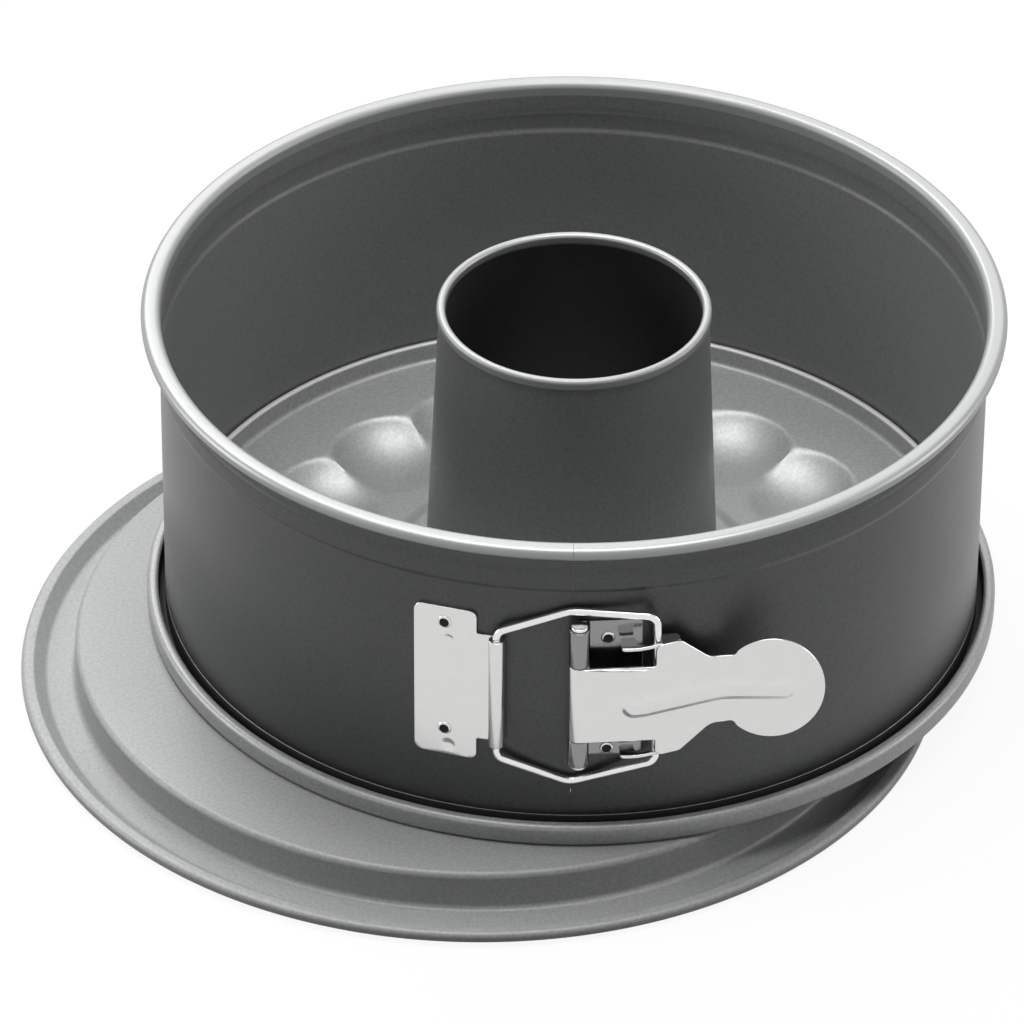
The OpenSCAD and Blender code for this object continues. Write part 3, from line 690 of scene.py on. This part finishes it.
# Near-black material for the rivet heads' dish: painted shade.
rivet_dish_painted_shade = tin_plate("Painted shade in the rivet heads' dish", "2a2a2a", 0.5, 5, 0.02)
rivet_maker = rivet_tree(tin_sheet, rivet_dish_painted_shade)
rivet_row("keeper_rivet_pair", rivet_maker, KEEPER_RIVETS, "ring_left", "keeper_rivets")
rivet_row("bracket_rivet_set", rivet_maker, BRACKET_RIVETS, "ring_right", "bracket_rivets")

# Wire loop
# One length of bright plated wire, bent into a six-sided loop: its left side turns in the
# keeper's roll and its right side lies in the fork of the lever's cheeks.
WIRE_DROP = 0.6
PEAK = 22.2
CORNER = 0.73 * PEAK
LEG_TOP = 0.96 * PEAK
LEG_ANGLE = 11.25
LEG_R = 93.4


def swept(path, radius, place, sides=20):
    """Shell of a round wire along a closed plane path; place puts (x, y, out) in the pan."""
    count = len(path)
    verts, faces = [], []
    for i, (x, y) in enumerate(path):
        ahead = Vector(path[(i + 1) % count]) - Vector(path[i - 1])
        ahead.normalize()
        for k in range(sides):
            a = 2 * math.pi * k / sides
            side = radius * math.cos(a)
            verts.append(place(x - ahead.y * side, y + ahead.x * side, radius * math.sin(a)))
    for i in range(count):
        j = (i + 1) % count
        for k in range(sides):
            m = (k + 1) % sides
            faces.append((i * sides + k, i * sides + m, j * sides + m, j * sides + k))
    return verts, faces


wire_left = Vector(at(KEEPER_ANGLE, KEEPER_R, 0))
wire_right = Vector(at(LEG_ANGLE, LEG_R, 0))
wire_along = (wire_right - wire_left).normalized()
wire_out = Vector((wire_along.y, -wire_along.x, 0))
wire_end = (wire_right - wire_left).length
peak_x = wire_end * KEEPER_ANGLE / (KEEPER_ANGLE - LEG_ANGLE)
wire_path = rounded([
    (0, -CORNER, 2.4), (0, CORNER, 2.4), (peak_x, PEAK, 9), (wire_end, LEG_TOP, 2.4),
    (wire_end, -CORNER, 2.4), (peak_x, -PEAK, 5)], 12)


def on_wire_plane(x, y, out):
    """Point in the plane of the loop, or out of it: x from the keeper to the lever, y up."""
    return wire_left + wire_along * x + wire_out * out + Vector((0, 0, y - WIRE_DROP))


wire = piece("wire_loop", swept(wire_path, WIRE_R, on_wire_plane))
wire_plate = tin_plate("Zinc-plated spring wire, bright", "e6e6e6", 0.16, 9, 0.01)
finish_piece(wire, wire_plate, "wire", ["wire_bail"])

# Bracket and hinge pin
# The moving half's seat: a plate riveted to the band to the right of the split, with an ear
# above and below that is curled round the hinge pin, a plain pin with a head at each end.
PIN_ANGLE = 1.2
PIN_R = 1.4
HINGE_R = 93.5
KNUCKLE_OUT = PIN_R + RUN + LATCH_T
BRACKET_TOP = 18.7
BRACKET_FOOT = -16.2
BRACKET_START = 0.6
BRACKET_W = 14.4
BRACKET_HALF = BRACKET_W / 2 - 0.05
BRACKET_MID = BRACKET_START + math.degrees(BRACKET_W / 2 / RING_OUT)
EAR_FOOT = 0.45
TONGUE_HALF = 9.5
EAR_GAP = 0.15
PIN_HEAD_R = 1.8
PIN_HEAD_T = 0.8
PIN_FOOT = -17.05
PIN_TOP = 19.55
bracket_outline = rounded([
    (-BRACKET_HALF, BRACKET_FOOT, 0.6), (BRACKET_HALF, BRACKET_FOOT, 1.2), (BRACKET_HALF, BRACKET_TOP, 1.2),
    (-BRACKET_HALF, BRACKET_TOP, 0.6)])
bracket_blank = pressed_on_band(bracket_outline, BRACKET_MID)


def ear_plan():
    """Plan of an ear: off the plate along the pin's right side, then round the pin."""
    turn = math.radians(PIN_ANGLE)
    along = Vector((math.cos(turn), math.sin(turn)))
    out = Vector((math.sin(turn), -math.cos(turn)))
    foot = Vector(axis) + out * (RING_OUT + EAR_FOOT)
    round_pin = curl(PIN_ANGLE, HINGE_R, PIN_R + RUN, KNUCKLE_OUT, 0, 318)
    return [tuple(foot + along * KNUCKLE_OUT)] + round_pin + [tuple(foot + along * (PIN_R + RUN))]


upper_ear = upright(ear_plan(), TONGUE_HALF + EAR_GAP, BRACKET_TOP)
lower_ear = upright(ear_plan(), BRACKET_FOOT, -TONGUE_HALF - EAR_GAP)
bracket = piece("bracket_blank", bracket_blank, upper_ear, lower_ear)
# The bracket, ears included, gets a darker copy of the plated steel: painted shade under the lever and the
# wire.
bracket_shaded_sheet = tin_plate("Zinc-plated sheet steel, dull", "8c8c8d", 0.16, 5, 0.04)
finish_piece(bracket, bracket_shaded_sheet, "ring_right", ["latch_bracket"])
pin_outline = rounded([
    (0, PIN_FOOT, 0), (PIN_HEAD_R, PIN_FOOT, 0.35), (PIN_HEAD_R, PIN_FOOT + PIN_HEAD_T, 0.2),
    (PIN_R, PIN_FOOT + PIN_HEAD_T, 0), (PIN_R, PIN_TOP - PIN_HEAD_T, 0),
    (PIN_HEAD_R, PIN_TOP - PIN_HEAD_T, 0.2), (PIN_HEAD_R, PIN_TOP, 0.35), (0, PIN_TOP, 0)])
pin_side = [(r, LATCH_Z + up) for r, up in pin_outline]
pin = piece("hinge_pin_turned", revolved(pin_side, at(PIN_ANGLE, HINGE_R, 0)[:2], steps=48))
finish_piece(pin, wire_plate, "ring_right", ["hinge_pin"])

# Lever
# The over-centre lever: one pressing of tin-plated sheet. Its tongue is curled round the
# pin, a raised rib stiffens it and two cheeks, bent inwards at the shoulders, fork the wire.
FACE_R = HINGE_R + KNUCKLE_OUT
TONGUE_LEN = 10.3
LEVER_BEND = 12.0
LEVER_TURN = math.radians(21)
LEVER_RUN = 14.5
TAB_X = 40.6
TAB_LONG = 11.3
TAB_HIGH = 12.7
NECK_X = 29.3
NECK_HALF = 8.4
SHOULDER_START = 16.2
SHOULDER_END = 21.4
SHOULDER_UP = 14.3
SHOULDER_SKEW = 0.5
RIB_START = 8.6
RIB_END = 46.2
RIB_HALF = 2.9
RIB_RISE = 1.2
RIB_SLOPE = 1.9
CHEEK_TOP = 14.8
CHEEK_FOOT = -13.8
CHEEK_IN = 91.68
CHEEK_LEFT = 6.5
CHEEK_RIGHT = 14.4
CHEEK_START = 8.8
CHEEK_END = 21.2
FORK_RIGHT = 0.96
FORK_LEFT = -4.45
FORK_DEEP = LEG_R + WIRE_R + 0.3
hinge_turn = math.radians(PIN_ANGLE)
lever_along = Vector((math.cos(hinge_turn), math.sin(hinge_turn)))
lever_out = Vector((math.sin(hinge_turn), -math.cos(hinge_turn)))


def lever_line(x):
    """How far the lever's face steps in at x along it, and the direction out of the face there."""
    sine, cosine = math.sin(LEVER_TURN), math.cos(LEVER_TURN)
    first = TONGUE_LEN + LEVER_BEND * sine
    second = first + LEVER_RUN * cosine
    last = second + LEVER_BEND * sine
    drop = LEVER_BEND * (1 - cosine)
    if x <= TONGUE_LEN:
        return 0.0, 0.0
    if x <= first:
        lean = math.asin((x - TONGUE_LEN) / LEVER_BEND)
        return LEVER_BEND * (math.cos(lean) - 1), lean
    if x <= second:
        return -drop - (x - first) * math.tan(LEVER_TURN), LEVER_TURN
    foot = -2 * drop - LEVER_RUN * sine
    if x <= last:
        lean = math.asin((last - x) / LEVER_BEND)
        return foot + LEVER_BEND * (1 - math.cos(lean)), lean
    return foot, 0.0


def rib_height(x, y):
    """How far the stiffening rib stands out of the lever's face."""
    away = math.hypot(x - min(max(x, RIB_START + RIB_HALF), RIB_END - RIB_HALF), y)
    return RIB_RISE * eased((RIB_HALF - away) / RIB_SLOPE)


def on_lever(x, y, down):
    """Point of the lever: x along it from the hinge, y up, down into the sheet."""
    step, lean = lever_line(x)
    out = rib_height(x, y) - down
    place = (Vector(axis) + lever_along * (x + out * math.sin(lean))
             + lever_out * (FACE_R + step + out * math.cos(lean)))
    return place.x, place.y, LATCH_Z + y


def lever_side(side):
    """Corners of the lever's upper (1) or lower (-1) edge, from the hinge to the tab."""
    shoulder = SHOULDER_UP + side * SHOULDER_SKEW
    touch = TAB_X - TAB_LONG * math.cos(math.asin(NECK_HALF / TAB_HIGH))
    return [(0, TONGUE_HALF, 0), (SHOULDER_START, TONGUE_HALF, 0.5), (SHOULDER_START, shoulder, 1.6),
            (SHOULDER_END, shoulder, 2.0), (NECK_X - 1.6, NECK_HALF + 0.3, 3.4),
            (touch + 0.6, NECK_HALF + 0.1, 2.6)]


upper = lever_side(1)
lower = [(x, -y, r) for x, y, r in reversed(lever_side(-1))]
tab = [(TAB_X + TAB_LONG * math.cos(math.radians(a)), TAB_HIGH * math.sin(math.radians(a)), 0)
       for a in range(130, -131, -5)]
lever_outline = rounded(upper + tab + lower)
lever_blank = layered(lever_outline, LATCH_T, 0.24, on_lever, 0.5)
knuckle_plan = curl(PIN_ANGLE, HINGE_R, PIN_R + RUN, KNUCKLE_OUT, 84, 318)
lever_knuckle = upright(knuckle_plan, -TONGUE_HALF, TONGUE_HALF)


def cheek(low):
    """Shell of a cheek from its lower face up: a flat hook seen from above, with its fork for the wire."""
    turn = math.radians(LEG_ANGLE)
    along = Vector((math.cos(turn), math.sin(turn)))
    out = Vector((math.sin(turn), -math.cos(turn)))

    def fork(x, r):
        point = Vector(axis) + along * x + out * r
        return point.x, point.y

    def edge(angle):
        return at(angle, CHEEK_IN, 0)[:2]

    def under(x):
        point = Vector(axis) + lever_along * x + lever_out * (FACE_R - 0.42 + lever_line(x)[0])
        return point.x, point.y

    corners = [(*edge(CHEEK_LEFT), 0.8), (*under(CHEEK_START), 0.8)]
    corners += [(*under(x), 0) for x in (10.5, 12.5, 14.5, 16.5)]
    corners += [(*under(CHEEK_END), 0.4), (*edge(CHEEK_RIGHT), 1.0), (*fork(FORK_RIGHT, CHEEK_IN), 0.3),
                (*fork(FORK_RIGHT, FORK_DEEP), 0.9), (*fork(FORK_LEFT, FORK_DEEP), 0.9),
                (*fork(FORK_LEFT, CHEEK_IN), 0.3)]
    return upright(rounded(corners), low, low + LATCH_T)


lever = piece("lever_blank", lever_blank, lever_knuckle, cheek(CHEEK_TOP - LATCH_T), cheek(CHEEK_FOOT))
finish_piece(lever, tin_sheet, "lever", ["latch_lever"])

# Floor and light
# White paper under the pan and a white room around it. Camera, metal and glass see both as
# white; matt surfaces get their light from soft lamps and, faintly, from the room. The
# paper keeps the pan's shadow.
PAPER_HALF = 4
PAPER_WHITE = 0.92
ROOM_WHITE = 1.0
ROOM_LIGHT = 0.05
floor_mesh = bpy.data.meshes.new("floor")
corners = [(x * PAPER_HALF, y * PAPER_HALF, 0) for x, y in ((-1, -1), (1, -1), (1, 1), (-1, 1))]
floor_mesh.from_pydata(corners, [], [(0, 1, 2, 3)])
floor = bpy.data.objects.new("floor", floor_mesh)
bpy.context.scene.collection.objects.link(floor)
paper = bpy.data.materials.new("White paper sweep")
paper.use_nodes = True
tree = paper.node_tree
tree.nodes.clear()


def either(tree, first, second):
    """1 where one of two light path values is 1."""
    return add(tree, "ShaderNodeMath", [(0, first), (1, second)], operation="MAXIMUM").outputs[0]


def glowing(tree, kind, shown, lighting):
    """White glow, of strength shown to the camera, metal and glass, and lighting for all other rays."""
    path = add(tree, "ShaderNodeLightPath")
    mirrored = either(tree, path.outputs["Is Glossy Ray"], path.outputs["Is Transmission Ray"])
    seen = either(tree, path.outputs["Is Camera Ray"], mirrored)
    level = add(tree, "ShaderNodeMapRange", [("Value", seen), ("To Min", lighting), ("To Max", shown)])
    return add(tree, kind, [("Color", (1, 1, 1, 1)), ("Strength", level.outputs[0])]).outputs[0]


diffuse = add(tree, "ShaderNodeBsdfDiffuse", [("Color", linear("4c4c4c"))])
glow = glowing(tree, "ShaderNodeEmission", PAPER_WHITE, 0.0)
total = add(tree, "ShaderNodeAddShader", [(0, diffuse.outputs[0]), (1, glow)])
add(tree, "ShaderNodeOutputMaterial", [("Surface", total.outputs[0])])
floor_mesh.materials.append(paper)


def softbox(name, place, aim, width, height, power):
    """Rectangular lamp aimed at a point; sizes in metres, power in watts."""
    lamp = bpy.data.lights.new(name, "AREA")
    lamp.shape = "RECTANGLE"
    lamp.size, lamp.size_y, lamp.energy = width, height, power
    obj = bpy.data.objects.new(name, lamp)
    obj.location = place
    obj.rotation_euler = (Vector(aim) - Vector(place)).to_track_quat("-Z", "Y").to_euler()
    bpy.context.scene.collection.objects.link(obj)


softbox("overhead", place=(0, 0, 1.5), aim=(0, 0, 0), width=1.1, height=0.8, power=20)
softbox("key", place=(-0.45, 0.9, 1.2), aim=(0, 0, 0), width=0.7, height=0.7, power=9)
softbox("back", place=(0, 1.5, 1.05), aim=(0, 0, 0.05), width=1.8, height=0.5, power=7)
softbox("left", place=(-1.1, 0.1, 0.35), aim=(0, 0, 0.05), width=0.5, height=0.5, power=4)
softbox("right", place=(1.1, 0.1, 0.35), aim=(0, 0, 0.05), width=0.5, height=0.5, power=3)

world = bpy.data.worlds.new("studio")
bpy.context.scene.world = world
world.use_nodes = True
tree = world.node_tree
tree.nodes.clear()
room = glowing(tree, "ShaderNodeBackground", ROOM_WHITE, ROOM_LIGHT)
add(tree, "ShaderNodeOutputWorld", [("Surface", room)])

# Camera
# Long lens from the front, 33 degrees above the pan. It is turned so that the middle of the
# rim falls on its pixel of the photograph, and rolled by less than a degree.
PIXELS = 1024
SENSOR = 36
FOCAL_PX = 7572.0
DISTANCE = 1643.9
TILT = math.radians(33.424)
AIM_PX = (574.08, 307.34)
ROLL = math.radians(-0.671)
target = Vector((axis[0], axis[1], RIM_Z))
place = Vector((0, -DISTANCE * math.cos(TILT), DISTANCE * math.sin(TILT)))
forward = -place.normalized()
right = Vector((1, 0, 0))
upward = right.cross(forward)
basis = Matrix((right, upward, forward))
aim_x, aim_y = [(pixel - PIXELS / 2) / FOCAL_PX for pixel in AIM_PX]
swing = Vector((0, 0, 1)).rotation_difference(Vector((aim_x, -aim_y, 1)).normalized()).to_matrix()
turn = Matrix.Rotation(ROLL, 3, "Z")
view = swing @ turn @ basis
cam_data = bpy.data.cameras.new("camera")
cam_data.sensor_width = SENSOR
cam_data.lens = FOCAL_PX / PIXELS * SENSOR
cam_data.clip_end = 20
camera = bpy.data.objects.new("camera", cam_data)
columns = Matrix((view[0], view[1], -Vector(view[2]))).transposed()
camera.matrix_world = Matrix.Translation((target + place) * MM) @ columns.to_4x4()
bpy.context.scene.collection.objects.link(camera)
bpy.context.scene.camera = camera
bpy.context.scene.view_settings.view_transform = "Standard"
